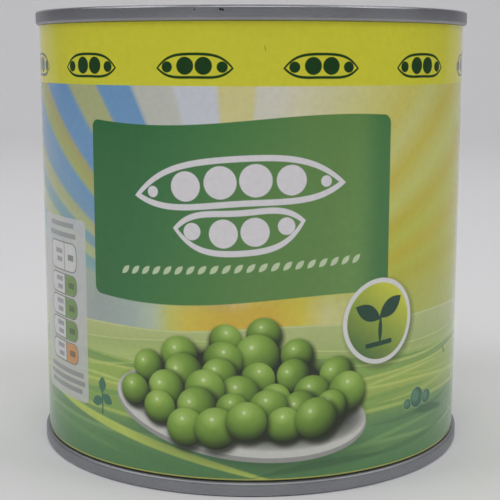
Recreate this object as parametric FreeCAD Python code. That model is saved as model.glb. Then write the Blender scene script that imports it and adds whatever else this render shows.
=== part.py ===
import FreeCAD, Part
import os
from math import cos, pi, sin, sqrt

# A shut food can with a paper label. Sizes are in millimetres.
# The can stands on z = 0 with its axis on Z. The middle of the label faces -Y.

# whole can
can_height = 76.5
body_diameter = 74.7

# double seams, which lock each end to the body
seam_overhang = 0.8         # out from the body
seam_length = 2.35          # along the axis
seam_thickness = 1.45       # across the rolled edge
seam_round = 0.5            # outer edges of the roll

# necks, where the body draws in under each seam
neck_depth = 0.35
neck_length = 1.2

# ends
plate_thickness = 0.25
chuck_draft = 0.25          # how far the seam's inner wall leans in
countersink_depth = 3.4     # from the seam's rim to the bottom of the channel
countersink_radius = 0.6
panel_depth = 2.1           # from the seam's rim to the flat panel
panel_edge_radius = 0.5
bead_radii = (31.0, 26.0, 21.0)
bead_width = 3.0
bead_height = 0.45
panel_step_radius = 15.0    # the middle of the panel lies lower
panel_step_run = 1.2
panel_step_drop = 0.4

# label
paper_thickness = 0.15
label_top_gap = 0.05        # paper to the top seam
label_foot_gap = 0.25       # paper to the bottom seam
lap_start_angle = 157.0     # where the paper begins to rise over itself
lap_end_angle = 180.0       # free edge of the paper, opposite the front

# sizes that follow from these
body_radius = body_diameter / 2
seam_radius = body_radius + seam_overhang
neck_radius = body_radius - neck_depth
chuck_top_radius = seam_radius - seam_thickness
chuck_foot_radius = chuck_top_radius - chuck_draft
channel_depth = countersink_depth - countersink_radius
panel_wall_radius = chuck_foot_radius - 2 * countersink_radius
panel_radius = panel_wall_radius - panel_edge_radius
label_foot = seam_length + label_foot_gap
label_top = can_height - seam_length - label_top_gap

os.makedirs("parts", exist_ok=True)


def point(radius, depth):
    """A point of a section, in the XZ plane, with depth measured down from a rim at z = 0."""
    return FreeCAD.Vector(radius, 0, -depth)


def line(start, end):
    return Part.makeLine(point(*start), point(*end))


def arc(start, middle, end):
    return Part.Arc(point(*start), point(*middle), point(*end)).toShape()


def quarter(start, centre, end):
    """A quarter circle from start to end about the centre."""
    radius = sqrt((start[0] - centre[0]) ** 2 + (start[1] - centre[1]) ** 2)
    out = ((start[0] + end[0]) / 2 - centre[0], (start[1] + end[1]) / 2 - centre[1])
    reach = radius / sqrt(out[0] ** 2 + out[1] ** 2)
    middle = (centre[0] + out[0] * reach, centre[1] + out[1] * reach)
    return arc(start, middle, end)


def panel_edges(depth):
    """The beaded panel from its rounded edge in to the axis."""
    edges = []
    reached = panel_radius
    for bead in bead_radii:
        outer = bead + bead_width / 2
        inner = bead - bead_width / 2
        edges.append(line((reached, depth), (outer, depth)))
        edges.append(arc((outer, depth), (bead, depth - bead_height), (inner, depth)))
        reached = inner
    low = depth + panel_step_drop
    edges.append(line((reached, depth), (panel_step_radius, depth)))
    edges.append(line((panel_step_radius, depth), (panel_step_radius - panel_step_run, low)))
    edges.append(line((panel_step_radius - panel_step_run, low), (0, low)))
    return edges


def end_face_edges(offset):
    """Chuck wall, countersink and panel, moved off the outer face by the offset into the can."""
    wall = chuck_foot_radius + offset
    inner_wall = panel_wall_radius - offset
    edge_depth = panel_depth + panel_edge_radius
    channel_middle = (chuck_foot_radius - countersink_radius, countersink_depth + offset)
    edges = [
        arc((wall, channel_depth), channel_middle, (inner_wall, channel_depth)),
        line((inner_wall, channel_depth), (inner_wall, edge_depth)),
        quarter((inner_wall, edge_depth), (panel_radius, edge_depth), (panel_radius, panel_depth + offset)),
    ]
    return edges + panel_edges(panel_depth + offset)


def underside_edges():
    """Where the body and an end touch, from the neck in to the axis."""
    wall = chuck_foot_radius + plate_thickness
    edges = [
        line((neck_radius, seam_length), (wall, seam_length)),
        line((wall, seam_length), (wall, channel_depth)),
    ]
    return edges + end_face_edges(plate_thickness)


def seam_edges():
    """The rolled edge, from the neck round the outside and over the rim to the countersink."""
    outside = seam_radius - seam_round
    inside = chuck_top_radius + seam_round
    foot = seam_length - seam_round
    return [
        line((neck_radius, seam_length), (outside, seam_length)),
        quarter((outside, seam_length), (outside, foot), (seam_radius, foot)),
        line((seam_radius, foot), (seam_radius, seam_round)),
        quarter((seam_radius, seam_round), (outside, seam_round), (outside, 0)),
        line((outside, 0), (inside, 0)),
        quarter((inside, 0), (inside, seam_round), (chuck_top_radius, seam_round)),
        line((chuck_top_radius, seam_round), (chuck_foot_radius, channel_depth)),
    ]


def turn(edges):
    """The solid swept by a closed section about the Z axis."""
    section = Part.Face(Part.Wire(Part.__sortEdges__(edges)))
    return section.revolve(FreeCAD.Vector(0, 0, 0), FreeCAD.Vector(0, 0, 1), 360)


def raised_to_top(shape):
    """The same shape with its rim at the can's top."""
    raised = shape.copy()
    raised.translate(FreeCAD.Vector(0, 0, can_height))
    return raised


def turned_over(shape):
    """The same shape with its rim down on z = 0."""
    return shape.mirror(FreeCAD.Vector(0, 0, 0), FreeCAD.Vector(0, 0, 1))


def build_end():
    middle_depth = panel_depth + panel_step_drop
    axis = line((0, middle_depth), (0, middle_depth + plate_thickness))
    return turn(seam_edges() + end_face_edges(0) + underside_edges() + [axis])


def build_body():
    neck_end = seam_length + neck_length
    middle = panel_depth + panel_step_drop + plate_thickness
    top = underside_edges() + [line((neck_radius, seam_length), (body_radius, neck_end))]
    edges = [raised_to_top(edge) for edge in top]
    edges += [turned_over(edge) for edge in top]
    edges.append(line((body_radius, -neck_end), (body_radius, neck_end - can_height)))
    edges.append(line((0, -middle), (0, middle - can_height)))
    return turn(edges)


def round_point(radius, angle):
    """A point at the label's foot. The angle in degrees runs anticlockwise from the front."""
    turned = angle * pi / 180
    return FreeCAD.Vector(radius * sin(turned), -radius * cos(turned), label_foot)


def build_label():
    """A paper sleeve whose free edge rises over its own start."""
    once = body_radius + paper_thickness
    twice = once + paper_thickness
    rise_middle = (lap_start_angle + lap_end_angle) / 2
    round_middle = (lap_start_angle + lap_end_angle - 360) / 2
    start = round_point(once, lap_start_angle)
    free_edge = round_point(twice, lap_end_angle)
    step_foot = round_point(once, lap_end_angle)
    outline = Part.Wire([
        Part.Arc(start, round_point((once + twice) / 2, rise_middle), free_edge).toShape(),
        Part.makeLine(free_edge, step_foot),
        Part.Arc(step_foot, round_point(once, round_middle), start).toShape(),
    ])
    bore = Part.makeCylinder(body_radius, label_top - label_foot, FreeCAD.Vector(0, 0, label_foot))
    sleeve = Part.Face(outline).extrude(FreeCAD.Vector(0, 0, label_top - label_foot))
    return sleeve.cut(bore).Solids[0]


end = build_end()
pieces = {
    "can_body": build_body(),
    "top_end": raised_to_top(end),
    "bottom_end": turned_over(end),
    "label": build_label(),
}

for name, shape in pieces.items():
    shape.exportStep(os.path.join("parts", name + ".step"))
    print(name, shape.ShapeType, "valid", shape.isValid(), "volume", round(shape.Volume, 2))
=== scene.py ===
import random
from math import asin, cos, degrees, pi, radians, sin, tau

import bmesh
import bpy
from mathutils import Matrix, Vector


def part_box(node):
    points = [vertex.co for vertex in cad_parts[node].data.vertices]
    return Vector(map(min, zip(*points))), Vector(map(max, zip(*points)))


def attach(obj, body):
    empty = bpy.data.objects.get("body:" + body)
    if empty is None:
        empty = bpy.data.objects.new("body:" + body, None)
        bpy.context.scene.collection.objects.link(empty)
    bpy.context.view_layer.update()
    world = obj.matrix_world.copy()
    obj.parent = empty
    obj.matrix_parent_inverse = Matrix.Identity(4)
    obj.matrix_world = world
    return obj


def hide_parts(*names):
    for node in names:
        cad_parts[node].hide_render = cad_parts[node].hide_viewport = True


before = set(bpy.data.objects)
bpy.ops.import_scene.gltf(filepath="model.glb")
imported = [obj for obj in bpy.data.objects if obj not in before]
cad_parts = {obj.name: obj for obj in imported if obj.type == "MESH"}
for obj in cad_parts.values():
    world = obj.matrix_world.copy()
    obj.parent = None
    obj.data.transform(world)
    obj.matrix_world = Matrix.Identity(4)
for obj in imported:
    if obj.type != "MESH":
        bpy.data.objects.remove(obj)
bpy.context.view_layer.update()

mm = 0.001
scene = bpy.context.scene


def inkColour(code):
    # sRGB hex to the linear values that sockets hold
    parts = [int(code[i:i + 2], 16) / 255 for i in (1, 3, 5)]
    return tuple(p / 12.92 if p <= 0.04045 else ((p + 0.055) / 1.055) ** 2.4 for p in parts) + (1.0,)


def addNode(tree, kind, feeds=None, **settings):
    # kind: the node's type, without its "ShaderNode"
    # feeds: input name or place -> a node, a socket, a hex colour or a plain value
    node = tree.nodes.new(kind if kind.startswith("Geometry") else "ShaderNode" + kind)
    for name, value in settings.items():
        setattr(node, name, value)
    for key, value in (feeds or {}).items():
        live = [s for s in node.inputs if s.enabled]
        socket = live[key] if isinstance(key, int) else next(s for s in live if s.name == key)
        if isinstance(value, bpy.types.Node):
            value = next(s for s in value.outputs if s.enabled)
        if isinstance(value, bpy.types.NodeSocket):
            tree.links.new(value, socket)
        elif isinstance(value, str) and value.startswith("#"):
            socket.default_value = inkColour(value)
        else:
            socket.default_value = value
    return node


def fillRamp(node, stops):
    # stops: (place, hex colour), in order
    ramp = node.color_ramp
    while len(ramp.elements) > 1:
        ramp.elements.remove(ramp.elements[-1])
    ramp.elements[0].position = stops[0][0]
    ramp.elements[0].color = inkColour(stops[0][1])
    for place, code in stops[1:]:
        ramp.elements.new(place).color = inkColour(code)
    return node


def newTree(name, kind, inputs, output):
    tree = bpy.data.node_groups.new(name, kind)
    for label, socketKind, value in inputs:
        socket = tree.interface.new_socket(label, in_out="INPUT", socket_type="NodeSocket" + socketKind)
        if value is not None:
            socket.default_value = value
    tree.interface.new_socket(output[0], in_out="OUTPUT", socket_type="NodeSocket" + output[1])
    return tree, tree.nodes.new("NodeGroupInput"), tree.nodes.new("NodeGroupOutput")


def newMaterial(name):
    material = bpy.data.materials.new(name)
    material.use_nodes = True
    material.node_tree.nodes.clear()
    return material, material.node_tree


def addObject(name, data):
    thing = bpy.data.objects.new(name, data)
    scene.collection.objects.link(thing)
    return thing


# sizes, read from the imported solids

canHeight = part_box("top_end")[1].z
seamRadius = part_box("bottom_end")[1].x
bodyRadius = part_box("can_body")[1].x
labelFoot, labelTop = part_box("label")[0].z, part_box("label")[1].z
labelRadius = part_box("label")[1].x
halfWrap = pi * labelRadius / mm           # half of the label's length, in mm
bleed = 2.8                                # mm of artwork cut off below the label's foot
printFoot = labelFoot - bleed * mm

endShape = {                               # one double-seamed end, in mm
    "seamLength": 2.35,
    "seamThickness": 1.45,
    "seamRound": 0.5,
    "neckDepth": 0.35,
    "neckLength": 1.2,
    "plate": 0.25,
    "chuckDraft": 0.25,
    "countersinkDepth": 3.4,
    "countersinkRadius": 0.6,
    "panelDepth": 2.1,
    "panelEdge": 0.5,
    "beads": (31.0, 26.0, 21.0),
    "beadWidth": 3.0,
    "beadHeight": 0.45,
    "stepRadius": 15.0,
    "stepRun": 1.2,
    "stepDrop": 0.4,
}
roundSettings = {"rings": 224, "smoothUnder": 38.0}


def roundCorner(centre, radius, start, end, steps):
    # points on an arc of a section, angles in degrees
    turns = [radians(start + (end - start) * i / steps) for i in range(steps + 1)]
    return [(centre[0] + radius * cos(t), centre[1] + radius * sin(t)) for t in turns]


def plateSection(offset):
    # countersink, panel edge, beads and lowered middle, in to the axis; the rim is at height 0
    e = endShape
    wall = seamRadius / mm - e["seamThickness"] - e["chuckDraft"]
    channel = e["countersinkRadius"] - e["countersinkDepth"]
    panelRadius = wall - 2 * e["countersinkRadius"] - e["panelEdge"]
    edge = -(e["panelDepth"] + e["panelEdge"])
    level = -(e["panelDepth"] + offset)
    points = roundCorner((wall - e["countersinkRadius"], channel), e["countersinkRadius"] + offset,
                         0, -180, 16)
    points += roundCorner((panelRadius, edge), e["panelEdge"] - offset, 0, 90, 8)
    half, rise = e["beadWidth"] / 2, e["beadHeight"]
    beadRound = (half ** 2 + rise ** 2) / (2 * rise)
    lean = degrees(asin(half / beadRound))
    for bead in e["beads"]:
        points += roundCorner((bead, level + rise - beadRound), beadRound, 90 - lean, 90 + lean, 12)
    low = level - e["stepDrop"]
    return points + [(e["stepRadius"], level), (e["stepRadius"] - e["stepRun"], low), (0, low)]


def seamSection():
    # the rolled edge, from the neck round the outside and over the rim to the countersink
    e = endShape
    rim, corner = seamRadius / mm, e["seamRound"]
    inner = rim - e["seamThickness"]
    points = [(bodyRadius / mm - e["neckDepth"], -e["seamLength"])]
    points += roundCorner((rim - corner, corner - e["seamLength"]), corner, -90, 0, 8)
    points += roundCorner((rim - corner, -corner), corner, 0, 90, 8)
    points += roundCorner((inner + corner, -corner), corner, 90, 180, 8)
    return points


def underSection():
    # where the body and an end touch, from the neck in to the axis
    e = endShape
    wall = seamRadius / mm - e["seamThickness"] - e["chuckDraft"] + e["plate"]
    foot = -e["seamLength"]
    return [(bodyRadius / mm - e["neckDepth"], foot), (wall, foot)] + plateSection(e["plate"])


def turnedTree():
    # turns a section round the can's axis; an open ring leaves a step where paper laps over itself
    tree, inside, outside = newTree("turned round the axis", "GeometryNodeTree", [
        ("Section", "Geometry", None), ("Rings", "Int", 224), ("Open Ring", "Int", 0),
        ("Lap Start", "Float", 0.9), ("Lap Rise", "Float", 0.0), ("Print Radius", "Float", 1.0),
        ("Print Foot", "Float", 0.0), ("Smooth Under", "Float", 0.6), ("Face Finish", "Material", None),
        ("Edge Finish", "Material", None),
    ], ("Turned", "Geometry"))
    tree.is_modifier = True
    given = inside.outputs
    place = addNode(tree, "GeometryNodeInputPosition")
    section = addNode(tree, "GeometryNodeMeshToCurve", {"Mesh": given["Section"]})
    section = addNode(tree, "GeometryNodeStoreNamedAttribute",
                      {"Geometry": section, "Name": "place", "Value": place}, data_type="FLOAT_VECTOR",
                      domain="POINT")
    ringCount = addNode(tree, "Math", {0: given["Rings"], 1: given["Open Ring"]}, operation="ADD")
    path = addNode(tree, "GeometryNodeCurvePrimitiveCircle", {"Resolution": ringCount, "Radius": 1.0})
    path = addNode(tree, "GeometryNodeStoreNamedAttribute",
                   {"Geometry": path, "Name": "ring", "Value": addNode(tree, "GeometryNodeInputIndex")},
                   data_type="FLOAT", domain="POINT")
    swept = addNode(tree, "GeometryNodeCurveToMesh", {"Curve": path, "Profile Curve": section})
    ring = addNode(tree, "GeometryNodeInputNamedAttribute", {"Name": "ring"}, data_type="FLOAT")
    share = addNode(tree, "Math", {0: ring, 1: given["Rings"]}, operation="DIVIDE")
    turn = addNode(tree, "Math", {0: share, 1: tau, 2: -pi}, operation="MULTIPLY_ADD")
    kept = addNode(tree, "GeometryNodeInputNamedAttribute", {"Name": "place"}, data_type="FLOAT_VECTOR")
    parts = addNode(tree, "SeparateXYZ", {0: kept}).outputs
    lap = addNode(tree, "MapRange", {"Value": share, "From Min": given["Lap Start"], "From Max": 1.0,
                                     "To Max": given["Lap Rise"]})
    radius = addNode(tree, "Math", {0: lap, 1: parts["Y"], 2: parts["X"]}, operation="MULTIPLY_ADD")
    sine = addNode(tree, "Math", {0: turn}, operation="SINE")
    cosine = addNode(tree, "Math", {0: turn}, operation="COSINE")
    across = addNode(tree, "Math", {0: radius, 1: sine}, operation="MULTIPLY")
    depth = addNode(tree, "Math", {0: radius, 1: cosine}, operation="MULTIPLY")
    depth = addNode(tree, "Math", {0: depth, 1: -1.0}, operation="MULTIPLY")
    spot = addNode(tree, "CombineXYZ", {0: across, 1: depth, 2: parts["Z"]})
    shaped = addNode(tree, "GeometryNodeSetPosition", {"Geometry": swept, "Position": spot})
    # the paper's own length and height, in mm, for the print
    wrap = addNode(tree, "Math", {0: turn, 1: given["Print Radius"]}, operation="MULTIPLY")
    rise = addNode(tree, "Math", {0: parts["Z"], 1: given["Print Foot"]}, operation="SUBTRACT")
    unrolled = addNode(tree, "CombineXYZ", {0: wrap, 1: rise})
    unrolled = addNode(tree, "VectorMath", {0: unrolled, "Scale": 1 / mm}, operation="SCALE")
    shaped = addNode(tree, "GeometryNodeStoreNamedAttribute",
                     {"Geometry": shaped, "Name": "unrolled", "Value": unrolled}, data_type="FLOAT2",
                     domain="CORNER")
    shaped = addNode(tree, "GeometryNodeMergeByDistance", {"Geometry": shaped, "Distance": 1e-6})
    shaped = addNode(tree, "GeometryNodeSetShadeSmooth", {0: shaped, "Shade Smooth": True}, domain="FACE")
    edge = addNode(tree, "GeometryNodeInputMeshEdgeAngle").outputs["Unsigned Angle"]
    gentle = addNode(tree, "Math", {0: edge, 1: given["Smooth Under"]}, operation="LESS_THAN")
    shaped = addNode(tree, "GeometryNodeSetShadeSmooth", {0: shaped, "Shade Smooth": gentle}, domain="EDGE")
    # the outer face takes the face finish: it is marked in the section and looks away from the axis
    flat = addNode(tree, "VectorMath", {0: place, 1: (1.0, 1.0, 0.0)}, operation="MULTIPLY")
    away = addNode(tree, "VectorMath", {0: flat}, operation="NORMALIZE")
    facing = addNode(tree, "VectorMath", {0: away, 1: addNode(tree, "GeometryNodeInputNormal")},
                     operation="DOT_PRODUCT")
    facing = addNode(tree, "Math", {0: facing.outputs["Value"]}, operation="ABSOLUTE")
    outer = addNode(tree, "Math", {0: facing, 1: parts["Y"]}, operation="MULTIPLY")
    outer = addNode(tree, "Math", {0: outer, 1: 0.9}, operation="GREATER_THAN")
    shaped = addNode(tree, "GeometryNodeRealizeInstances", {"Geometry": shaped})
    shaped = addNode(tree, "GeometryNodeSetMaterial", {"Geometry": shaped, "Material": given["Edge Finish"]})
    shaped = addNode(tree, "GeometryNodeSetMaterial", {"Geometry": shaped, "Selection": outer,
                                                       "Material": given["Face Finish"]})
    tree.links.new(shaped.outputs[0], outside.inputs["Turned"])
    return tree


def turnPiece(name, section, tree, finishes, closed=False, **inputs):
    # section: (radius, height, mark) in metres; the result is a plain mesh at the origin
    mesh = bpy.data.meshes.new(name)
    links = [(i, i + 1) for i in range(len(section) - 1)] + ([(len(section) - 1, 0)] if closed else [])
    mesh.from_pydata([(r, mark, z) for r, z, mark in section], links, [])
    source = addObject(name + "Section", mesh)
    modifier = source.modifiers.new("turned", "NODES")
    modifier.node_group = tree
    values = {"Rings": roundSettings["rings"], "Smooth Under": radians(roundSettings["smoothUnder"]),
              "Face Finish": finishes[0], "Edge Finish": finishes[-1], **inputs}
    for socket in tree.interface.items_tree:
        if socket.item_type == "SOCKET" and socket.in_out == "INPUT" and socket.name in values:
            modifier[socket.identifier] = values[socket.name]
    bpy.context.view_layer.update()
    turned = bpy.data.meshes.new_from_object(source.evaluated_get(bpy.context.evaluated_depsgraph_get()))
    bpy.data.objects.remove(source)
    turned.name = name
    for spare in ("place", "ring"):
        turned.attributes.remove(turned.attributes[spare])
    shape = bmesh.new()
    shape.from_mesh(turned)
    if shape.calc_volume(signed=True) < 0:
        bmesh.ops.reverse_faces(shape, faces=shape.faces)
    shape.to_mesh(turned)
    shape.free()
    piece = addObject(name, turned)
    print(name, len(turned.polygons), "faces", [m.name for m in turned.materials])
    return piece


# materials

rolledTin = {
    "tones": ("#919297", "#A9AAAF"),
    "metallic": 1.0,
    "roughness": (0.4, 0.52),
    "burnish": (0.45, 0.15, 0.2),          # mm below a rim where it starts and is full, then its roughness
    "lineWidth": 0.22,                     # mm between rolling lines, coarser than real so that they show
    "lineLength": 25.0,                    # mm
    "cloudWidth": 11.11,                   # mm across the broad dull patches
    "bump": (0.12, 0.02),                  # strength, and depth in mm
    "specks": ((-8.4, 75.75, 0.12), (-4.5, 75.8, 0.19), (-4.15, 75.72, 0.17)),   # mm round, mm up, and size
    "speckInk": "#2A2A2C",
}


def makeTinplate():
    # rolled tinplate: dull grey metal with faint straight rolling lines and a soft, broad shine,
    # brighter on the crests, where the seaming rolls rubbed it
    material, tree = newMaterial("rolledTinplate")
    point = addNode(tree, "TexCoord").outputs["Object"]
    lineScale = 1 / (rolledTin["lineWidth"] * mm)
    along = addNode(tree, "Mapping", {"Vector": point, "Scale": (1 / (rolledTin["lineLength"] * mm),
                                                                 lineScale, lineScale)})
    lines = addNode(tree, "TexNoise", {"Vector": along, "Scale": 1.0, "Detail": 3.0, "Roughness": 0.6})
    cloud = addNode(tree, "TexNoise", {"Vector": point, "Scale": 1 / (rolledTin["cloudWidth"] * mm),
                                       "Detail": 2.0})
    mixed = addNode(tree, "Mix", {0: 0.45, 1: lines.outputs["Fac"], 2: cloud.outputs["Fac"]},
                    data_type="FLOAT")
    smooth, dull = rolledTin["roughness"]
    rough = addNode(tree, "MapRange", {"Value": mixed, "From Min": 0.3, "From Max": 0.7, "To Min": smooth,
                                       "To Max": dull})
    tone = addNode(tree, "MapRange", {"Value": mixed, "From Min": 0.3, "From Max": 0.7, "To Min": 0.0,
                                      "To Max": 1.0})
    colour = addNode(tree, "Mix", {0: tone, 1: rolledTin["tones"][0], 2: rolledTin["tones"][1]},
                     data_type="RGBA")
    for across, height, size in rolledTin["specks"]:
        turn = across * mm / labelRadius
        centre = (seamRadius * sin(turn), -seamRadius * cos(turn), height * mm)
        gap = addNode(tree, "VectorMath", {0: point, 1: centre}, operation="DISTANCE").outputs["Value"]
        near = addNode(tree, "MapRange", {"Value": gap, "From Min": size * 1.3 * mm,
                                          "From Max": size * 0.7 * mm})
        colour = addNode(tree, "Mix", {0: near, 1: colour, 2: rolledTin["speckInk"]}, data_type="RGBA")
    start, full, polish = rolledTin["burnish"]
    upright = addNode(tree, "SeparateXYZ", {0: point}).outputs["Z"]
    upright = addNode(tree, "Math", {0: upright, 1: canHeight / 2}, operation="SUBTRACT")
    fromMiddle = addNode(tree, "Math", {0: upright}, operation="ABSOLUTE")
    crest = addNode(tree, "MapRange", {"Value": fromMiddle, "From Min": canHeight / 2 - start * mm,
                                       "From Max": canHeight / 2 - full * mm})
    rough = addNode(tree, "Mix", {0: crest, 1: rough, 2: polish}, data_type="FLOAT")
    strength, deep = rolledTin["bump"]
    bump = addNode(tree, "Bump", {"Strength": strength, "Distance": deep * mm,
                                  "Height": lines.outputs["Fac"]})
    shader = addNode(tree, "BsdfPrincipled", {"Base Color": colour, "Metallic": rolledTin["metallic"],
                                              "Roughness": rough, "Normal": bump})
    addNode(tree, "OutputMaterial", {"Surface": shader})
    return material


uncoatedPaper = {"colour": "#D9D7CF", "roughness": 0.8, "ior": 1.5}


def makePlainPaper():
    # uncoated back and cut edges of label paper: matt, slightly warm white
    material, tree = newMaterial("uncoatedLabelPaper")
    shader = addNode(tree, "BsdfPrincipled", {
        "Base Color": uncoatedPaper["colour"], "Roughness": uncoatedPaper["roughness"],
        "IOR": uncoatedPaper["ior"]})
    addNode(tree, "OutputMaterial", {"Surface": shader})
    return material


# stamps: each puts one simple shape of ink over the print below it; lengths are in mm on the unrolled paper

def stampTree(name, extras):
    tree, inside, outside = newTree(name, "ShaderNodeTree", [
        ("Under", "Color", None), ("Ink", "Color", None), ("Point", "Vector", None),
        ("Place", "Vector", None), ("Turn", "Float", 0.0), ("Soft", "Float", 0.12),
        ("Strength", "Float", 1.0)] + extras, ("Print", "Color"))
    given = inside.outputs
    local = addNode(tree, "VectorMath", {0: given["Point"], 1: given["Place"]}, operation="SUBTRACT")
    cosine = addNode(tree, "Math", {0: given["Turn"]}, operation="COSINE")
    sine = addNode(tree, "Math", {0: given["Turn"]}, operation="SINE")
    minus = addNode(tree, "Math", {0: sine, 1: -1.0}, operation="MULTIPLY")
    ahead = addNode(tree, "CombineXYZ", {0: cosine, 1: sine})
    aside = addNode(tree, "CombineXYZ", {0: minus, 1: cosine})
    x = addNode(tree, "VectorMath", {0: local, 1: ahead}, operation="DOT_PRODUCT").outputs["Value"]
    y = addNode(tree, "VectorMath", {0: local, 1: aside}, operation="DOT_PRODUCT").outputs["Value"]
    return tree, given, outside, x, y


def inkInside(tree, given, outside, reach):
    # reach: how far a point lies outside the shape
    fade = addNode(tree, "Math", {0: reach, 1: given["Soft"]}, operation="DIVIDE")
    cover = addNode(tree, "Math", {0: 0.5, 1: fade}, operation="SUBTRACT", use_clamp=True)
    cover = addNode(tree, "Math", {0: cover, 1: given["Strength"]}, operation="MULTIPLY")
    mixed = addNode(tree, "Mix", {0: cover, 1: given["Under"], 2: given["Ink"]}, data_type="RGBA")
    tree.links.new(mixed.outputs[2], outside.inputs["Print"])
    return tree


def makeBoxStamp():
    tree, given, outside, x, y = stampTree("rounded box", [
        ("Wide", "Float", 1.0), ("High", "Float", 1.0), ("Corner", "Float", 0.3)])
    over = []
    for part, half in ((x, "Wide"), (y, "High")):
        part = addNode(tree, "Math", {0: part}, operation="ABSOLUTE")
        part = addNode(tree, "Math", {0: part, 1: given[half]}, operation="SUBTRACT")
        over.append(addNode(tree, "Math", {0: part, 1: given["Corner"]}, operation="ADD"))
    most = addNode(tree, "Math", {0: over[0], 1: over[1]}, operation="MAXIMUM")
    most = addNode(tree, "Math", {0: most, 1: 0.0}, operation="MINIMUM")
    over = [addNode(tree, "Math", {0: part, 1: 0.0}, operation="MAXIMUM") for part in over]
    length = addNode(tree, "CombineXYZ", {0: over[0], 1: over[1]})
    length = addNode(tree, "VectorMath", {0: length}, operation="LENGTH").outputs["Value"]
    reach = addNode(tree, "Math", {0: length, 1: most}, operation="ADD")
    reach = addNode(tree, "Math", {0: reach, 1: given["Corner"]}, operation="SUBTRACT")
    return inkInside(tree, given, outside, reach)


def makeDiscStamp():
    tree, given, outside, x, y = stampTree("disc", [("Wide", "Float", 1.0), ("High", "Float", 1.0)])
    x = addNode(tree, "Math", {0: x, 1: given["Wide"]}, operation="DIVIDE")
    y = addNode(tree, "Math", {0: y, 1: given["High"]}, operation="DIVIDE")
    length = addNode(tree, "CombineXYZ", {0: x, 1: y})
    length = addNode(tree, "VectorMath", {0: length}, operation="LENGTH").outputs["Value"]
    least = addNode(tree, "Math", {0: given["Wide"], 1: given["High"]}, operation="MINIMUM")
    reach = addNode(tree, "Math", {0: length, 1: 1.0}, operation="SUBTRACT")
    reach = addNode(tree, "Math", {0: reach, 1: least}, operation="MULTIPLY")
    return inkInside(tree, given, outside, reach)


podRoom = 1.42                             # wall and gap round a pea in an open pod, in wall thicknesses


def makePodStamp():
    # a bent, pointed pod; opened, it shows a row of peas inside its wall, and shut it is a leaf
    tree, given, outside, x, y = stampTree("pod", [
        ("Wide", "Float", 1.0), ("High", "Float", 1.0), ("Bend", "Float", 0.0), ("Wall", "Float", 1.0),
        ("Pitch", "Float", 5.0), ("Shift", "Float", 0.0), ("Open", "Float", 0.0), ("Blunt", "Float", 2.0)])

    def bendAt(place):
        # at a place along the pod: how far off its bent middle line the point is, and half the pod's height
        share = addNode(tree, "Math", {0: place, 1: given["Wide"]}, operation="DIVIDE")
        share = addNode(tree, "Math", {0: share}, operation="ABSOLUTE")
        square = addNode(tree, "Math", {0: share, 1: share}, operation="MULTIPLY")
        bent = addNode(tree, "Math", {0: square, 1: given["Bend"], 2: y}, operation="MULTIPLY_ADD")
        taper = addNode(tree, "Math", {0: share, 1: given["Blunt"]}, operation="POWER")
        belly = addNode(tree, "Math", {0: 1.0, 1: taper}, operation="SUBTRACT")
        return bent, addNode(tree, "Math", {0: belly, 1: given["High"]}, operation="MULTIPLY")

    bent, belly = bendAt(x)
    off = addNode(tree, "Math", {0: bent}, operation="ABSOLUTE")
    reach = addNode(tree, "Math", {0: off, 1: belly}, operation="SUBTRACT")
    # the gap inside the wall, and the peas in it
    hollow = addNode(tree, "Math", {0: reach, 1: given["Wall"]}, operation="ADD")
    hollow = addNode(tree, "Math", {0: hollow, 1: -1.0}, operation="MULTIPLY")
    slid = addNode(tree, "Math", {0: x, 1: given["Shift"]}, operation="ADD")
    step = addNode(tree, "Math", {0: slid, 1: given["Pitch"]}, operation="DIVIDE")
    step = addNode(tree, "Math", {0: step}, operation="ROUND")
    peaPlace = addNode(tree, "Math", {0: step, 1: given["Pitch"]}, operation="MULTIPLY")
    peaPlace = addNode(tree, "Math", {0: peaPlace, 1: given["Shift"]}, operation="SUBTRACT")
    peaBend, peaBelly = bendAt(peaPlace)
    peaSize = addNode(tree, "Math", {0: given["Wall"], 1: -podRoom, 2: peaBelly}, operation="MULTIPLY_ADD")
    aside = addNode(tree, "Math", {0: x, 1: peaPlace}, operation="SUBTRACT")
    toPea = addNode(tree, "CombineXYZ", {0: aside, 1: peaBend})
    toPea = addNode(tree, "VectorMath", {0: toPea}, operation="LENGTH").outputs["Value"]
    toPea = addNode(tree, "Math", {0: toPea, 1: peaSize}, operation="SUBTRACT")
    wallOnly = addNode(tree, "Math", {0: reach, 1: hollow}, operation="MAXIMUM")
    opened = addNode(tree, "Math", {0: wallOnly, 1: toPea}, operation="MINIMUM")
    chosen = addNode(tree, "Mix", {0: given["Open"], 1: reach, 2: opened}, data_type="FLOAT")
    return inkInside(tree, given, outside, chosen)


printedPea = {                             # places and reaches are in radii of the pea
    "shadePlace": (0.1, -0.16, 0.0),
    "shadeReach": (0.9, 1.3),
    "shadeStrength": 0.92,
    "shadeInk": "#222D18",
    "lightFrom": (-0.22, 0.66, 0.0),
    "rimDark": -0.52,
    "toneShare": 0.16,
    "lightSpan": (-0.95, 0.55),
    "skin": [(0.0, "#242F14"), (0.25, "#445C24"), (0.5, "#688B33"), (0.75, "#87AD45"), (1.0, "#A8CB62")],
    "glowPlace": (-0.2, 0.42, 0.0),
    "glow": (0.05, 0.55, 0.35, "#CFEA8A"),  # inner and outer reach, strength, ink
    "glint": (0.02, 0.15, 0.6, "#F4FFD8"),
}


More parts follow.
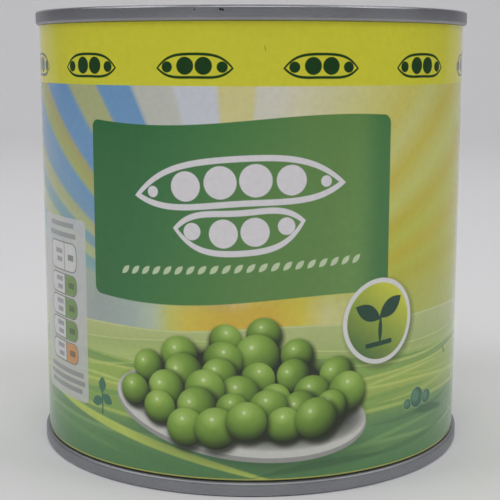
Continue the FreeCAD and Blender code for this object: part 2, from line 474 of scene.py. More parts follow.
def makePeaStamp():
    # one round pea: shade under it, lit from the upper left, small soft glint
    p = printedPea
    tree, given, outside, x, y = stampTree("pea", [("Radius", "Float", 3.0), ("Tone", "Float", 0.5)])
    x = addNode(tree, "Math", {0: x, 1: given["Radius"]}, operation="DIVIDE")
    y = addNode(tree, "Math", {0: y, 1: given["Radius"]}, operation="DIVIDE")
    local = addNode(tree, "CombineXYZ", {0: x, 1: y})
    gap = addNode(tree, "VectorMath", {0: local}, operation="LENGTH").outputs["Value"]
    fallen = addNode(tree, "VectorMath", {0: local, 1: p["shadePlace"]}, operation="DISTANCE")
    shade = addNode(tree, "MapRange", {
        "Value": fallen.outputs["Value"], "From Min": p["shadeReach"][0], "From Max": p["shadeReach"][1],
        "To Min": p["shadeStrength"], "To Max": 0.0}, interpolation_type="SMOOTHSTEP")
    under = addNode(tree, "Mix", {0: shade, 1: given["Under"], 2: p["shadeInk"]}, data_type="RGBA")
    lit = addNode(tree, "VectorMath", {0: local, 1: p["lightFrom"]}, operation="DOT_PRODUCT")
    rim = addNode(tree, "Math", {0: gap, 1: 3.0}, operation="POWER")
    lit = addNode(tree, "Math", {0: rim, 1: p["rimDark"], 2: lit.outputs["Value"]}, operation="MULTIPLY_ADD")
    lit = addNode(tree, "Math", {0: given["Tone"], 1: p["toneShare"], 2: lit}, operation="MULTIPLY_ADD")
    lit = addNode(tree, "MapRange", {"Value": lit, "From Min": p["lightSpan"][0],
                                     "From Max": p["lightSpan"][1]})
    skin = fillRamp(addNode(tree, "ValToRGB", {0: lit}), p["skin"]).outputs["Color"]
    away = addNode(tree, "VectorMath", {0: local, 1: p["glowPlace"]}, operation="DISTANCE").outputs["Value"]
    for near, far, strength, ink in (p["glow"], p["glint"]):
        shine = addNode(tree, "MapRange", {"Value": away, "From Min": near, "From Max": far, "To Min": strength,
                                           "To Max": 0.0}, interpolation_type="SMOOTHSTEP")
        skin = addNode(tree, "Mix", {0: shine, 1: skin, 2: ink}, data_type="RGBA")
    cover = addNode(tree, "MapRange", {"Value": gap, "From Min": 1.03, "From Max": 0.97})
    mixed = addNode(tree, "Mix", {0: cover, 1: under, 2: skin}, data_type="RGBA")
    tree.links.new(mixed.outputs[2], outside.inputs["Print"])
    return tree


ripplesRound = 7.0                         # small waves on every crest, whole round the can


def makeHillStamp():
    # everything below a wavy crest, paler at the crest, with a fine light line along it
    # the waves are whole round the can
    tree, inside, outside = newTree("hill", "ShaderNodeTree", [
        ("Under", "Color", None), ("Point", "Vector", None), ("Height", "Float", 20.0),
        ("Swell", "Float", 1.0), ("Waves", "Float", 3.0), ("Phase", "Float", 0.0), ("Ripple", "Float", 0.3),
        ("Crest Ink", "Color", None), ("Foot Ink", "Color", None), ("Line Ink", "Color", None),
        ("Fade", "Float", 4.0), ("Line", "Float", 0.25)],
                                    ("Print", "Color"))
    given = inside.outputs
    turn = addNode(tree, "VectorMath", {0: given["Point"], 1: (pi / halfWrap, 0.0, 0.0)},
                   operation="DOT_PRODUCT").outputs["Value"]
    height = addNode(tree, "VectorMath", {0: given["Point"], 1: (0.0, 1.0, 0.0)},
                     operation="DOT_PRODUCT").outputs["Value"]
    wave = addNode(tree, "Math", {0: turn, 1: given["Waves"], 2: given["Phase"]}, operation="MULTIPLY_ADD")
    wave = addNode(tree, "Math", {0: wave}, operation="SINE")
    crest = addNode(tree, "Math", {0: wave, 1: given["Swell"], 2: given["Height"]}, operation="MULTIPLY_ADD")
    small = addNode(tree, "Math", {0: turn, 1: ripplesRound, 2: given["Phase"]}, operation="MULTIPLY_ADD")
    small = addNode(tree, "Math", {0: small}, operation="SINE")
    crest = addNode(tree, "Math", {0: small, 1: given["Ripple"], 2: crest}, operation="MULTIPLY_ADD")
    depth = addNode(tree, "Math", {0: crest, 1: height}, operation="SUBTRACT")
    fade = addNode(tree, "Math", {0: depth, 1: given["Fade"]}, operation="DIVIDE", use_clamp=True)
    field = addNode(tree, "Mix", {0: fade, 1: given["Crest Ink"], 2: given["Foot Ink"]}, data_type="RGBA")
    line = addNode(tree, "Math", {0: depth, 1: given["Line"]}, operation="SUBTRACT")
    line = addNode(tree, "Math", {0: line}, operation="ABSOLUTE")
    line = addNode(tree, "Math", {0: line, 1: given["Line"]}, operation="DIVIDE")
    line = addNode(tree, "Math", {0: 1.3, 1: line}, operation="SUBTRACT", use_clamp=True)
    field = addNode(tree, "Mix", {0: line, 1: field, 2: given["Line Ink"]}, data_type="RGBA")
    cover = addNode(tree, "MapRange", {"Value": depth, "From Min": -0.08, "From Max": 0.08})
    mixed = addNode(tree, "Mix", {0: cover, 1: given["Under"], 2: field}, data_type="RGBA")
    tree.links.new(mixed.outputs[2], outside.inputs["Print"])
    return tree


coatedLabel = {
    "roughness": (0.12, 0.17),
    "ior": 1.5,
    "sun": (-2.0, 28.0),                   # where the rays meet, in mm
    "fanJoin": 92,                         # degrees round the sun where one fan of rays meets the other
    "rightFan": [(0, "#BBC556"), (5, "#C2BD48"), (8, "#C4C74A"), (12, "#C2BF3E"), (15.5, "#C5C84A"),
                 (19.3, "#CABF3A"), (24, "#C8CC50"), (28.5, "#CABF3C"), (34, "#CFD471"), (40, "#D0C44D"),
                 (45.5, "#D4D581"), (50.5, "#D7CF67"), (53, "#D8D374"), (61, "#DDDA91"), (68, "#DEDAA9"),
                 (74, "#E2DEB7"), (80, "#DFDDCA"), (85.2, "#DFDDCA"), (86.2, "#DFD897"), (90, "#DFD897")],
    "leftFan": [(94.5, "#DFD897"), (95.5, "#D6DAE0"), (105, "#D4D8DE"), (106, "#CDCFC4"), (115, "#CACCC0"),
                (116, "#76A3CD"), (123.6, "#76A3CD"), (124.4, "#B6BC88"), (131, "#B6BC88"),
                (131.8, "#74A1CC"), (138, "#74A1CC"), (138.8, "#B2AE6D"), (143.2, "#B1BB71"),
                (144, "#78A3C8"), (150.1, "#7FA6C2"), (150.9, "#B3BB80"), (154, "#B7C195"),
                (154.7, "#85ADB3"), (157.4, "#85ADB3"), (158.1, "#B8C492"), (161.1, "#B8C492"),
                (161.8, "#89B1B2"), (165.5, "#8FB5B2"), (166.3, "#AABDA6"), (170, "#AABDA6")],
    "haze": [(-40, "#BFC4B3"), (-27, "#A6B2AC"), (-20, "#AEBEB5"), (-16, "#C0CFB3"), (-13, "#D2D26D"),
             (-10, "#E1CB50"), (-5, "#DDBD45"), (3, "#DDBB43"), (8, "#E0D04E"), (12, "#D9D892"),
             (18, "#D0D489"), (26, "#BFC65A"), (40, "#BDC662")],
    "hazeTop": 36.0,
    "horizon": 29.0,
    "backSky": "#DEDDA4",                  # the sky pales towards the lap
    "backFrom": 62.0,
    "backFull": 100.0,
    "mottle": 0.035,
    "mottleWidth": 1.1,                    # mm, coarser than the paper's own grain so that it shows
    "footLine": {"High": 0.22, "Corner": 0.05, "Ink": "#C9C763", "Strength": 0.8},
    "scuffInk": "#4A4A2C",
    "scuffs": {"band": (2.1, 70.3, 0.08, 0.4, 0.2),
               "scene": (40.9, 19.2, 0.35, 0.9, 0.7)},   # place, half size, turn
}

# height, swell, waves, phase, ripple, crest, foot, line, fade, line width
hills = (
    (26.9, 0.7, 2, 0.6, 0.25, "#C0CC86", "#B4C47C", "#D0D898", 4.0, 0.15),
    (24.0, 1.2, 3, 2.4, 0.2, "#ABBE74", "#BBCE7D", "#C9D68C", 2.6, 0.15),
    (21.6, 0.8, 4, 0.3, 0.3, "#84A55D", "#93B45C", "#A7C465", 2.4, 0.2),
    (19.0, 1.1, 3, 3.9, 0.2, "#A6C05E", "#A3C05F", "#BECF72", 2.6, 0.25),
    (16.6, 1.2, 2, 1.7, 0.35, "#B4C565", "#8EB05C", "#C0D46F", 3.2, 0.28),
    (12.4, 1.1, 3, 5.2, 0.2, "#86AA5E", "#6B9562", "#B1C86B", 2.6, 0.4),
    (8.4, 1.3, 2, 3.4, 0.4, "#6F9A62", "#5E8D5A", "#84AA6E", 4.5, 0.4),
)

# furrows and paths as tapered strokes: place, half length, half width, turn, bend, ink, strength
strokes = (
    (-20.0, 8.6, 28.0, 0.75, -0.215, 1.2, "#C4D668", 0.95),
    (-12.0, 4.4, 17.0, 0.9, -0.24, 0.6, "#5B8853", 0.5),
    (-27.0, 17.7, 7.0, 0.24, -0.05, 0.3, "#C6D77C", 0.9),
    (-26.5, 19.6, 7.5, 0.2, 0.12, -0.3, "#C2D478", 0.8),
    (-27.0, 14.9, 7.0, 0.5, 0.02, -0.4, "#79A65C", 0.7),
    (-34.0, 7.2, 12.0, 0.5, -0.12, 0.5, "#74A163", 0.6),
    (30.0, 20.2, 15.0, 0.22, 0.03, -0.9, "#C6D67C", 0.85),
    (27.0, 17.9, 12.0, 0.24, 0.1, 0.7, "#C9D87A", 0.8),
    (35.0, 16.9, 12.0, 0.2, -0.06, -0.6, "#B9CC6C", 0.8),
    (25.0, 15.0, 10.0, 0.45, 0.06, 0.4, "#7FA958", 0.6),
    (34.0, 14.4, 12.0, 0.3, 0.1, -0.5, "#BACF70", 0.7),
    (33.0, 10.6, 13.0, 0.5, 0.09, -0.7, "#5C8559", 0.75),
    (26.0, 8.4, 12.0, 0.4, 0.13, 0.8, "#84AF6C", 0.7),
    (31.0, 5.9, 15.0, 0.5, 0.1, -0.6, "#527A52", 0.6),
    (12.0, 4.9, 12.0, 0.6, 0.08, 0.8, "#4F7350", 0.7),
    (14.0, 6.6, 11.0, 0.3, 0.12, 0.9, "#7CA866", 0.6),
    (66.0, 18.6, 14.0, 0.3, 0.05, 0.8, "#C6D67C", 0.8),
    (74.0, 10.2, 15.0, 0.6, -0.1, 0.8, "#5C8559", 0.7),
    (98.0, 14.0, 15.0, 0.35, 0.07, -0.9, "#BACF70", 0.8),
    (90.0, 6.4, 16.0, 0.6, 0.06, 0.8, "#C4D668", 0.85),
    (-60.0, 19.0, 12.0, 0.25, -0.08, 0.7, "#C9D87A", 0.8),
    (-66.0, 9.4, 16.0, 0.65, 0.11, -0.8, "#C4D668", 0.85),
    (-90.0, 13.0, 15.0, 0.5, -0.06, 0.8, "#5C8559", 0.7),
    (-98.0, 18.0, 14.0, 0.25, 0.05, 0.7, "#C6D67C", 0.8),
)

# the heap in the dish: row height, count, first and last place, radius; back rows first
peaRows = (
    (25.7, 2, -4.6, 1.9, 2.9),
    (22.9, 4, -11.0, 7.9, 2.95),
    (19.8, 6, -16.8, 13.4, 2.9),
    (16.8, 7, -19.0, 15.9, 2.8),
    (14.2, 6, -14.9, 13.5, 2.95),
    (11.8, 5, -10.4, 10.2, 3.1),
)
random.seed(7)


def addStamps(tree, under, point, art):
    # prints each shape of a list over what is there
    for kind, x, y, feeds in art:
        under = addNode(tree, "Group", {"Under": under, "Point": point, "Place": (x, y, 0), **feeds},
                        node_tree=stamps[kind])
    return under.outputs["Print"]


def listHeap():
    # a shallow pale dish with its shade on the grass, and the peas heaped in it
    art = [
        ("disc", 0.3, 8.6, {"Wide": 18.4, "High": 4.2, "Turn": -0.1, "Ink": "#3E6546", "Soft": 2.2,
                            "Strength": 0.7}),
        ("disc", -1.8, 13.2, {"Wide": 21.4, "High": 7.2, "Turn": -0.12, "Ink": "#A3A39F"}),
        ("disc", -1.8, 13.75, {"Wide": 21.3, "High": 6.95, "Turn": -0.12, "Ink": "#DAD9D3"}),
        ("disc", -1.7, 14.2, {"Wide": 20.3, "High": 6.15, "Turn": -0.12, "Ink": "#B4B4AD", "Soft": 0.5}),
        ("disc", -1.4, 14.6, {"Wide": 19.4, "High": 5.6, "Turn": -0.12, "Ink": "#273021", "Soft": 1.4}),
        ("disc", -1.6, 18.0, {"Wide": 14.4, "High": 6.6, "Ink": "#273021", "Soft": 1.2}),
    ]
    for height, count, first, last, radius in peaRows:
        places = [first + (last - first) * i / (count - 1) for i in range(count)]
        random.shuffle(places)
        for x in places:
            art.append(("pea", x + random.uniform(-0.7, 0.7), height + random.uniform(-0.9, 0.9),
                        {"Radius": radius + random.uniform(-0.4, 0.6), "Tone": random.uniform(-0.6, 1.0),
                         "Turn": random.uniform(-0.7, 0.7)}))
    return art


def listPlants():
    # low bushes with their shade on the right and a sprout on the left
    art = []
    for x, y, wide, high in ((34.4, 10.4, 3.6, 0.8), (38.0, 9.9, 2.0, 0.5)):
        art.append(("disc", x, y, {"Wide": wide, "High": high, "Turn": -0.1, "Ink": "#436F4D", "Soft": 0.5,
                                   "Strength": 0.85}))
    for x, y, wide, high in ((28.7, 12.2, 1.0, 0.9), (31.2, 12.9, 1.75, 1.75), (34.1, 12.5, 1.35, 1.2)):
        art.append(("disc", x, y, {"Wide": wide + 0.12, "High": high + 0.12, "Ink": "#A9C487",
                                   "Strength": 0.7}))
        art.append(("disc", x, y, {"Wide": wide, "High": high, "Ink": "#45715C"}))
        art.append(("disc", x - 0.25 * wide, y + 0.2 * high,
                    {"Wide": wide * 0.6, "High": high * 0.6, "Ink": "#5E8E70", "Soft": 0.6}))
    art.append(("box", -26.5, 13.0, {"Wide": 0.16, "High": 2.0, "Corner": 0.12, "Ink": "#45715C"}))
    for x, y, turn, wide in ((-27.7, 13.0, 0.4, 1.35), (-25.4, 13.6, 2.6, 1.25), (-26.5, 15.9, 1.5, 1.4)):
        art.append(("pod", x, y, {"Wide": wide, "High": 0.85, "Turn": turn, "Ink": "#4A7C62"}))
    return art


badge = {
    "place": (21.9, 27.3),
    "plantInk": "#1F4A36",
    "slant": (0.6, 0.8, 0.0),              # the way its green pales, and how far along it starts and ends
    "span": (29.0, 41.0),
    "inks": [(0.0, "#597D43"), (0.5, "#9DB144"), (1.0, "#D8DB44")],
}


def listBadge(fill):
    # a round badge with a pale rim, its shade, and a two-leaf sprout
    (x, y), deep = badge["place"], badge["plantInk"]
    return [
        ("disc", x + 0.45, y - 0.5, {"Wide": 7.3, "High": 7.3, "Ink": "#3A4A2C", "Soft": 1.3,
                                     "Strength": 0.6}),
        ("disc", x, y, {"Wide": 7.0, "High": 7.0, "Ink": "#E6E6E2"}),
        ("disc", x, y, {"Wide": 6.25, "High": 6.25, "Ink": fill}),
        ("pod", x - 2.3, y + 1.5, {"Wide": 2.7, "High": 1.3, "Turn": -0.45, "Ink": deep}),
        ("pod", x + 2.2, y + 2.1, {"Wide": 2.8, "High": 1.35, "Turn": 0.6, "Ink": deep}),
        ("pod", x + 0.1, y - 1.4, {"Wide": 2.4, "High": 0.4, "Turn": 1.55, "Ink": deep}),
        ("box", x - 0.1, y - 3.7, {"Wide": 2.7, "High": 0.4, "Corner": 0.3, "Turn": 0.08, "Ink": deep}),
    ]


panel = {
    "middle": (-38.4, 27.2), "half": (8.3, 15.4), "ink": "#CDCECD",
    # the stacked boxes: height, half height, ink of the right end
    "boxes": ((35.9, 2.5, "#D8D9D7"), (31.15, 1.8, "#799C56"), (27.25, 1.8, "#799C56"), (23.4, 1.8, "#7A9C58"),
              (19.5, 1.8, "#D49B63")),
    "boxPlace": -38.0, "rim": 0.18, "rimInk": "#6F7464", "boxInk": "#D8D9D7",
    "darkBar": {"Wide": 0.95, "High": 0.5, "Corner": 0.1, "Ink": "#4B5A3C", "Strength": 0.7},
    "greyBar": {"High": 0.4, "Corner": 0.1, "Ink": "#88888C", "Strength": 0.75},
    # bars above and below the boxes: place across, height, half length
    "bars": ((-38.2, 41.3, 4.6), (-38.2, 39.6, 5.2), (-38.0, 16.3, 6.6), (-38.0, 14.9, 6.9), (-38.2, 13.5, 6.3)),
    "bar": {"High": 0.42, "Corner": 0.15, "Ink": "#85888A", "Strength": 0.7},
}


def listPanel():
    # pale panel with a stack of boxes; plain bars stand where small print would be
    p, x = panel, panel["boxPlace"]
    art = [("box", *p["middle"], {"Wide": p["half"][0], "High": p["half"][1], "Corner": 1.2, "Ink": p["ink"],
                                  "Strength": 0.82})]
    for y, half, ink in p["boxes"]:
        inner = half - p["rim"]
        art += [("box", x, y, {"Wide": 5.15, "High": half, "Corner": 1.5, "Ink": p["rimInk"]}),
                ("box", x, y, {"Wide": 4.95, "High": inner, "Corner": 1.35, "Ink": p["boxInk"]}),
                ("box", x + 3.05, y, {"Wide": 1.9, "High": inner, "Corner": 1.35, "Ink": ink}),
                ("box", x + 1.4, y, {"Wide": 0.5, "High": inner, "Corner": 0.05, "Ink": ink}),
                ("box", x + 0.9, y, {"Wide": 0.09, "High": half, "Corner": 0.05, "Ink": p["rimInk"]}),
                ("box", x + 3.2, y, p["darkBar"]),
                ("box", x - 1.3, y + 0.75, {"Wide": 1.4, **p["greyBar"]}),
                ("box", x - 1.1, y - 0.65, {"Wide": 1.1, **p["greyBar"]})]
    return art + [("box", place, height, {"Wide": half, **p["bar"]}) for place, height, half in p["bars"]]


def drawLandscape(tree, spot, point):
    # sun rays as fields of colour by angle round the sun, haze on the horizon, then fields down to the foot
    c = coatedLabel
    across = addNode(tree, "Math", {0: spot["X"], 1: c["sun"][0]}, operation="SUBTRACT")
    above = addNode(tree, "Math", {0: spot["Y"], 1: c["sun"][1]}, operation="SUBTRACT")
    angle = addNode(tree, "Math", {0: above, 1: across}, operation="ARCTAN2")
    angle = addNode(tree, "Math", {0: angle, 1: 1 / pi}, operation="MULTIPLY")
    right, left = (fillRamp(addNode(tree, "ValToRGB", {0: angle}),
                            [(turn / 180, ink) for turn, ink in c[fan]])
                   for fan in ("rightFan", "leftFan"))
    onLeft = addNode(tree, "Math", {0: angle, 1: c["fanJoin"] / 180}, operation="GREATER_THAN")
    sky = addNode(tree, "Mix", {0: onLeft, 1: right.outputs["Color"], 2: left.outputs["Color"]},
                  data_type="RGBA")
    side = addNode(tree, "Math", {0: spot["X"]}, operation="ABSOLUTE")
    back = addNode(tree, "MapRange", {"Value": side, "From Min": c["backFrom"], "From Max": c["backFull"]},
                   interpolation_type="SMOOTHSTEP")
    sky = addNode(tree, "Mix", {0: back, 1: sky, 2: c["backSky"]}, data_type="RGBA")
    low, high = c["haze"][0][0], c["haze"][-1][0]
    hazePlace = addNode(tree, "MapRange", {"Value": spot["X"], "From Min": float(low),
                                           "From Max": float(high)})
    haze = fillRamp(addNode(tree, "ValToRGB", {0: hazePlace}),
                    [((x - low) / (high - low), ink) for x, ink in c["haze"]])
    haze = addNode(tree, "Mix", {0: back, 1: haze.outputs["Color"], 2: c["backSky"]}, data_type="RGBA")
    hazeShare = addNode(tree, "MapRange", {"Value": spot["Y"], "From Min": c["hazeTop"],
                                           "From Max": c["horizon"]},
                        interpolation_type="SMOOTHSTEP")
    printed = addNode(tree, "Mix", {0: hazeShare, 1: sky, 2: haze}, data_type="RGBA").outputs[2]
    for height, swell, waves, phase, ripple, crest, foot, line, fade, width in hills:
        printed = addNode(tree, "Group", {
            "Under": printed, "Point": point, "Height": height, "Swell": swell, "Waves": float(waves),
            "Phase": phase, "Ripple": ripple, "Crest Ink": crest, "Foot Ink": foot, "Line Ink": line,
            "Fade": fade, "Line": width},
                          node_tree=stamps["hill"]).outputs["Print"]
    art = [("pod", x, y, {"Wide": wide, "High": high, "Turn": turn, "Bend": bend, "Ink": ink,
                          "Strength": strength, "Soft": 0.3})
           for x, y, wide, high, turn, bend, ink, strength in strokes]
    return addStamps(tree, printed, point, art)


bannerStyle = {
    "waveLength": 60.0,                    # mm
    "waveRise": -0.87,
    "inkLean": -0.33,                      # how far the change of green slants, in mm across for each mm up
    "corner": 1.3,
    "edgeInk": "#488046",                  # lighter green along the right end
    "edgeReach": (7.0, 1.0),
    "pod": {"Wall": 0.95, "Open": 1.0, "Blunt": 4.0, "Ink": "#E6E3E6"},
    "leaf": {"Wide": 0.95, "High": 0.45, "Turn": 0.75, "Ink": "#D2E1BA", "Strength": 0.9},
}


def drawBanner(tree, spot, point, printed, middle, half, inkStops, pods, garland):
    # wavy green banner with open pods and a garland of small leaves on it
    b = bannerStyle
    swing = addNode(tree, "Math", {0: spot["X"], 1: tau / b["waveLength"]}, operation="MULTIPLY")
    swing = addNode(tree, "Math", {0: swing}, operation="SINE")
    swing = addNode(tree, "Math", {0: swing, 1: b["waveRise"], 2: spot["Y"]}, operation="MULTIPLY_ADD")
    waved = addNode(tree, "CombineXYZ", {0: spot["X"], 1: swing})
    slant = addNode(tree, "Math", {0: spot["Y"], 1: b["inkLean"], 2: spot["X"]}, operation="MULTIPLY_ADD")
    first, last = inkStops[0][0], inkStops[-1][0]
    slant = addNode(tree, "MapRange", {"Value": slant, "From Min": first, "From Max": last})
    ink = fillRamp(addNode(tree, "ValToRGB", {0: slant}),
                   [((x - first) / (last - first), code) for x, code in inkStops])
    rightEnd = middle[0] + half[0]
    start, full = b["edgeReach"]
    edge = addNode(tree, "MapRange", {"Value": spot["X"], "From Min": rightEnd - start,
                                      "From Max": rightEnd - full}, interpolation_type="SMOOTHSTEP")
    ink = addNode(tree, "Mix", {0: edge, 1: ink.outputs["Color"], 2: b["edgeInk"]}, data_type="RGBA")
    printed = addStamps(tree, printed, waved, [
        ("box", *middle, {"Wide": half[0], "High": half[1], "Corner": b["corner"], "Ink": ink})])
    art = [("pod", x, y, {**b["pod"], "Wide": wide, "High": high, "Turn": turn, "Bend": bend, "Pitch": pitch,
                          "Shift": shift}) for x, y, wide, high, turn, bend, pitch, shift in pods]
    printed = addStamps(tree, printed, point, art)
    x, y, reach, lean, pitch = garland
    level = addNode(tree, "Math", {0: spot["X"], 1: -lean, 2: spot["Y"]}, operation="MULTIPLY_ADD")
    place = addNode(tree, "Math", {0: spot["X"], 1: -pitch / 2, 2: pitch / 2}, operation="WRAP")
    leafPoint = addNode(tree, "CombineXYZ", {0: place, 1: level})
    leaves = addStamps(tree, printed, leafPoint, [("pod", 0, y, b["leaf"])])
    inRow = addNode(tree, "Math", {0: spot["X"], 1: x, 2: reach}, operation="COMPARE")
    return addNode(tree, "Mix", {0: inRow, 1: printed, 2: leaves}, data_type="RGBA").outputs[2]


# the printed fields of the label, each with its own artwork, all but the band over the same landscape
# least and most place across, then least and most place up, in mm
fields = {
    "band": (-200.0, 200.0, 64.65, 90.0),
    "heap": (-24.2, 24.2, 0.0, 30.2),
    "panel": (-47.4, -29.4, 0.0, 43.4),
    "scene": (-70.0, 70.0, 0.0, 90.0),
    "back": (-200.0, 200.0, 0.0, 90.0),
}
band = {
    "ink": "#DDDA3C", "marks": 12, "firstMark": -8.7, "height": 67.7,
    "mark": {"Wide": 6.1, "High": 1.95, "Bend": 0.4, "Wall": 0.42, "Pitch": 2.9, "Shift": 1.45, "Open": 1.0,
             "Blunt": 4.0, "Ink": "#164013", "Soft": 0.1},
}
frontBanner = {
    "middle": (-2.1, 45.55), "half": (25.5, 14.0),
    "inkStops": ((-45.0, "#286F39"), (-36.0, "#35743F"), (-30.0, "#3D7B45"), (-20.0, "#508647"),
                 (-10.0, "#648F4A"), (-4.0, "#66914A"), (4.0, "#6E9951")),
    "pods": ((-2.0, 50.3, 17.0, 3.9, 0.066, 1.5, 5.5, 2.75), (-1.8, 42.3, 10.4, 3.6, 0.066, -1.3, 4.9, 2.45)),
    "garland": (-1.9, 36.9, 20.0, 0.055, 1.9),
}
backBanner = {
    "middle": (98.0, 40.0), "half": (17.0, 17.0),
    "inkStops": ((60.0, "#4E8447"), (80.0, "#427D49"), (100.0, "#3A7745")),
    "pods": ((98.0, 50.0, 11.0, 3.2, 0.05, -1.2, 4.4, 2.2),),
    "garland": (97.85, 33.5, 11.4, 0.04, 1.9),
}


def makePrintedPaper(field):
    # coated label paper, printed: even ink under a thin gloss that goes pale where it is seen at a slant
    material, tree = newMaterial("coatedPaper-" + field)
    spot = addNode(tree, "SeparateXYZ", {0: addNode(tree, "UVMap", uv_map="unrolled")}).outputs
    point = addNode(tree, "CombineXYZ", {0: spot["X"], 1: spot["Y"]}).outputs["Vector"]
    if field == "band":
        # even yellow with small open pods at even steps
        pitch = 2 * halfWrap / band["marks"]
        slid = addNode(tree, "Math", {0: spot["X"], 1: band["firstMark"]}, operation="SUBTRACT")
        slid = addNode(tree, "Math", {0: slid, 1: -pitch / 2, 2: pitch / 2}, operation="WRAP")
        markPoint = addNode(tree, "CombineXYZ", {0: slid, 1: spot["Y"]})
        printed = addStamps(tree, band["ink"], markPoint, [("pod", 0.0, band["height"], band["mark"])])
    else:
        printed = drawLandscape(tree, spot, point)
    if field == "heap":
        printed = addStamps(tree, printed, point, listHeap())
    if field == "panel":
        printed = addStamps(tree, printed, point, listPanel())
    if field == "scene":
        printed = addStamps(tree, printed, point, listPlants())
        printed = drawBanner(tree, spot, point, printed, **frontBanner)
    if field == "back":
        aside = addNode(tree, "Math", {0: spot["X"], 1: 0.0, 2: 2 * halfWrap}, operation="WRAP")
        backSpot = {"X": aside.outputs[0], "Y": spot["Y"]}
        backPoint = addNode(tree, "CombineXYZ", {0: aside, 1: spot["Y"]})
        printed = drawBanner(tree, backSpot, backPoint.outputs[0], printed, **backBanner)
    if field in ("heap", "scene"):
        slope = addNode(tree, "VectorMath", {0: point, 1: badge["slant"]}, operation="DOT_PRODUCT")
        slope = addNode(tree, "MapRange", {"Value": slope.outputs["Value"], "From Min": badge["span"][0],
                                           "From Max": badge["span"][1]})
        fill = fillRamp(addNode(tree, "ValToRGB", {0: slope}), badge["inks"])
        printed = addStamps(tree, printed, point, listBadge(fill))
    if field != "band":
        # thin line along the foot, where the print stops short of the cut
        footLine = {"Wide": 2 * halfWrap, **coatedLabel["footLine"]}
        printed = addStamps(tree, printed, point, [("box", 0.0, bleed, footLine)])
    if field in coatedLabel["scuffs"]:
        x, y, wide, high, turn = coatedLabel["scuffs"][field]
        printed = addStamps(tree, printed, point, [
            ("disc", x, y, {"Wide": wide, "High": high, "Turn": turn, "Ink": coatedLabel["scuffInk"],
                            "Strength": 0.6})])
    # faint mottling of the ink and of the gloss
    body = addNode(tree, "TexCoord").outputs["Object"]
    speckle = addNode(tree, "TexNoise", {"Vector": body, "Scale": 1 / (coatedLabel["mottleWidth"] * mm),
                                         "Detail": 2.0, "Roughness": 0.7})
    mottle = coatedLabel["mottle"]
    level = addNode(tree, "MapRange", {"Value": speckle.outputs["Fac"], "From Min": 0.3, "From Max": 0.7,
                                       "To Min": 1 - mottle, "To Max": 1 + mottle})
    printed = addNode(tree, "VectorMath", {0: printed, "Scale": level}, operation="SCALE")
    smooth, dull = coatedLabel["roughness"]
    gloss = addNode(tree, "MapRange", {"Value": speckle.outputs["Fac"], "From Min": 0.3, "From Max": 0.7,
                                       "To Min": smooth, "To Max": dull})
    shader = addNode(tree, "BsdfPrincipled",
                     {"Base Color": printed, "Roughness": gloss, "IOR": coatedLabel["ior"]})
    addNode(tree, "OutputMaterial", {"Surface": shader})
    print("print", field, len(tree.nodes), "nodes")
    return material


# the pieces

tin = makeTinplate()
plainPaper = makePlainPaper()
stamps = {"box": makeBoxStamp(), "disc": makeDiscStamp(), "pod": makePodStamp(), "pea": makePeaStamp(),
          "hill": makeHillStamp()}
printedPapers = {field: makePrintedPaper(field) for field in fields}
lathe = turnedTree()


def placed(points, height=0.0, upsideDown=False):
    # section in mm with its rim at 0 -> metres at a height, turned over for the foot
    flip = -1 if upsideDown else 1
    return [(r * mm, height + flip * z * mm, 0.0) for r, z in points]


endMiddle = endShape["panelDepth"] + endShape["stepDrop"] + endShape["plate"]
endSection = [(0, -endMiddle)] + underSection()[::-1][1:-1] + seamSection() + plateSection(0)
topEnd = turnPiece("topEnd", placed(endSection, canHeight), lathe, [tin])
bottomEnd = turnPiece("bottomEnd", placed(endSection, 0.0, True), lathe, [tin])

neckEnd = endShape["seamLength"] + endShape["neckLength"]
under = underSection()
bodySection = placed(under[::-1], canHeight)
bodySection += [(bodyRadius, canHeight - neckEnd * mm, 0.0), (bodyRadius, neckEnd * mm, 0.0)]
bodySection += placed(under, 0.0, True)
canBody = turnPiece("canBody", bodySection, lathe, [tin])

paper = {"thickness": 0.15 * mm, "lapStart": 1 - 23 / 360, "rowHeight": 2.7}
outerRadius = bodyRadius + paper["thickness"]
breaks = [bleed, fields["heap"][3], fields["panel"][3], fields["band"][2], (labelTop - printFoot) / mm]
steps = []
for low, high in zip(breaks, breaks[1:]):
    count = max(1, round((high - low) / paper["rowHeight"]))
    steps += [printFoot + (low + (high - low) * i / count) * mm for i in range(count)]
labelSection = [(bodyRadius, labelTop, 0.0), (bodyRadius, labelFoot, 0.0)]
labelSection += [(outerRadius, z, 1.0) for z in steps + [labelTop]]
paperLabel = turnPiece("paperLabel", labelSection, lathe, [printedPapers["scene"], plainPaper], closed=True,
                       **{"Open Ring": 1, "Lap Start": paper["lapStart"], "Lap Rise": paper["thickness"],
                          "Print Radius": outerRadius, "Print Foot": printFoot})


def printFields(piece):
    # gives each face of the printed side the first field that its middle lies in
    mesh, printedSlot = piece.data, piece.data.materials.find(printedPapers["scene"].name)
    slots = {"scene": printedSlot}
    for field in fields:
        if field not in slots:
            slots[field] = len(mesh.materials)
            mesh.materials.append(printedPapers[field])
    places = mesh.uv_layers["unrolled"].uv
    for face in mesh.polygons:
        if face.material_index == printedSlot:
            x, y = (sum(places[i].vector[axis] for i in face.loop_indices) / face.loop_total
                    for axis in (0, 1))
            field = next(name for name, (left, right, low, high) in fields.items()
                         if left < x < right and low < y < high)
            face.material_index = slots[field]


# a second map without overlaps, for baking the print, in strips as wide as the map
# least and most height of each strip
bakeStrips = {"front": (0.43, 0.995), "back": (0.06, 0.42), "step": (0.044, 0.052), "foot": (0.032, 0.04),
              "top": (0.02, 0.028), "inside": (0.004, 0.016)}


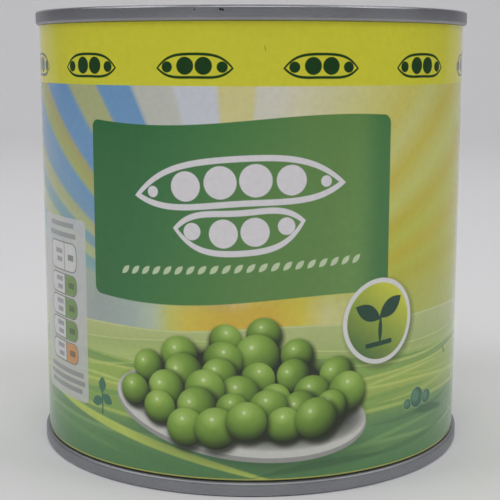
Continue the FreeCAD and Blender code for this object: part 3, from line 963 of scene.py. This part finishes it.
def layBakeMap(piece):
    mesh = piece.data
    mesh.uv_layers.new(name="OFBake")
    places, laid = mesh.uv_layers["unrolled"].uv, mesh.uv_layers["OFBake"].uv
    for face in mesh.polygons:
        corners = [(i, places[i].vector[0], mesh.vertices[mesh.loops[i].vertex_index].co)
                   for i in face.loop_indices]
        across = [x for i, x, point in corners]
        middle = sum(across) / len(across)
        if mesh.materials[face.material_index] != plainPaper:
            strip = "front" if abs(middle) < halfWrap / 2 else "back"
        elif max(across) - min(across) > halfWrap:
            strip = "step"
        else:
            strip = "top" if face.normal.z > 0.5 else "foot" if face.normal.z < -0.5 else "inside"
        low, high = bakeStrips[strip]
        for i, x, point in corners:
            rise = (point.z - labelFoot) / (labelTop - labelFoot)
            depth = (point.xy.length - bodyRadius) / (2 * paper["thickness"])
            if strip == "front":
                share = 0.5 + x / halfWrap
            elif strip == "back":
                share = (x % (2 * halfWrap)) / halfWrap - 0.5
            else:
                share = rise if strip == "step" else 0.5 + x / (2 * halfWrap)
            up = rise if strip in ("front", "back", "inside") else depth
            laid[i].vector = (0.01 + 0.98 * share, low + (high - low) * up)


printFields(paperLabel)
layBakeMap(paperLabel)

for piece in (topEnd, bottomEnd, canBody):
    piece.data.attributes.remove(piece.data.attributes["unrolled"])

for piece, node, finish in ((canBody, "can_body", "tinplate"), (topEnd, "top_end", "tinplate"),
                            (bottomEnd, "bottom_end", "tinplate"), (paperLabel, "label", "label_paper")):
    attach(piece, "root")
    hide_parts(node)
print("can made")

# floor, sweeping up behind
stage = {"colour": "#EFEEEF", "roughness": 0.9, "ior": 1.45, "halfWidth": 1.35, "front": -1.2, "back": 0.75,
         "bend": 0.3, "bendSteps": 24, "height": 1.1}


def makeSweep():
    # plain matt background paper
    material, tree = newMaterial("paperSweep")
    shader = addNode(tree, "BsdfPrincipled", {"Base Color": stage["colour"], "Roughness": stage["roughness"],
                                              "IOR": stage["ior"]})
    addNode(tree, "OutputMaterial", {"Surface": shader})
    line = [(stage["front"], 0.0)]
    for i in range(stage["bendSteps"] + 1):
        t = radians(90 * i / stage["bendSteps"])
        line.append((stage["back"] + stage["bend"] * sin(t), stage["bend"] * (1 - cos(t))))
    line += [(stage["back"] + stage["bend"], stage["height"])]
    vertices = [(x, y, z) for y, z in line for x in (-stage["halfWidth"], stage["halfWidth"])]
    faces = [(2 * i, 2 * i + 1, 2 * i + 3, 2 * i + 2) for i in range(len(line) - 1)]
    mesh = bpy.data.meshes.new("sweep")
    mesh.from_pydata(vertices, [], faces)
    mesh.materials.append(material)
    mesh.shade_smooth()
    return addObject("sweep", mesh)


makeSweep()

# soft light: high panels in front, behind and at both sides, and a low fill that doesn't show in the gloss
lights = {
    "frontPanel": {"place": (0.0, -0.75, 1.05), "size": (1.0, 0.5), "power": 4.0},
    "lowFill": {"place": (0.0, -1.1, 0.3), "size": (1.2, 0.4), "power": 0.95, "shine": False},
    "leftPanel": {"place": (-0.9, -0.25, 1.0), "size": (0.5, 0.8), "power": 3.12},
    "rightPanel": {"place": (0.9, -0.25, 1.0), "size": (0.5, 0.8), "power": 2.78},
    "backPanel": {"place": (0.0, 0.45, 1.1), "size": (2.7, 0.3), "power": 4.4},
}
for name, l in lights.items():
    lamp = bpy.data.lights.new(name, "AREA")
    lamp.shape = "RECTANGLE"
    lamp.size, lamp.size_y = l["size"]
    lamp.energy = l["power"]
    holder = addObject(name, lamp)
    holder.location = l["place"]
    holder.visible_glossy = l.get("shine", True)
    aim = Vector((0, 0, canHeight / 2)) - Vector(l["place"])
    holder.rotation_euler = aim.to_track_quat("-Z", "Y").to_euler()
room = {"colour": "#6B6B6E", "strength": 1.0}
world = bpy.data.worlds.new("room")
world.use_nodes = True
world.node_tree.nodes["Background"].inputs["Color"].default_value = inkColour(room["colour"])
world.node_tree.nodes["Background"].inputs["Strength"].default_value = room["strength"]
scene.world = world
scene.view_settings.view_transform = "Standard"

# metres, then degrees; the lens is longer than the sensor is wide by "zoom" times
view = {"distance": 0.21706, "height": 0.0691, "down": 9.333, "turn": -0.057, "roll": -0.07, "zoom": 2.3736,
        "sensor": 36.0, "nearest": 0.01}
camera = addObject("camera", bpy.data.cameras.new("camera"))
camera.data.sensor_width = view["sensor"]
camera.data.lens = view["zoom"] * view["sensor"]
camera.data.clip_start = view["nearest"]
camera.location = (0.0, -view["distance"], view["height"])
camera.rotation_euler = (radians(90 - view["down"]), radians(view["roll"]), radians(-view["turn"]))
scene.camera = camera
print("stage set")
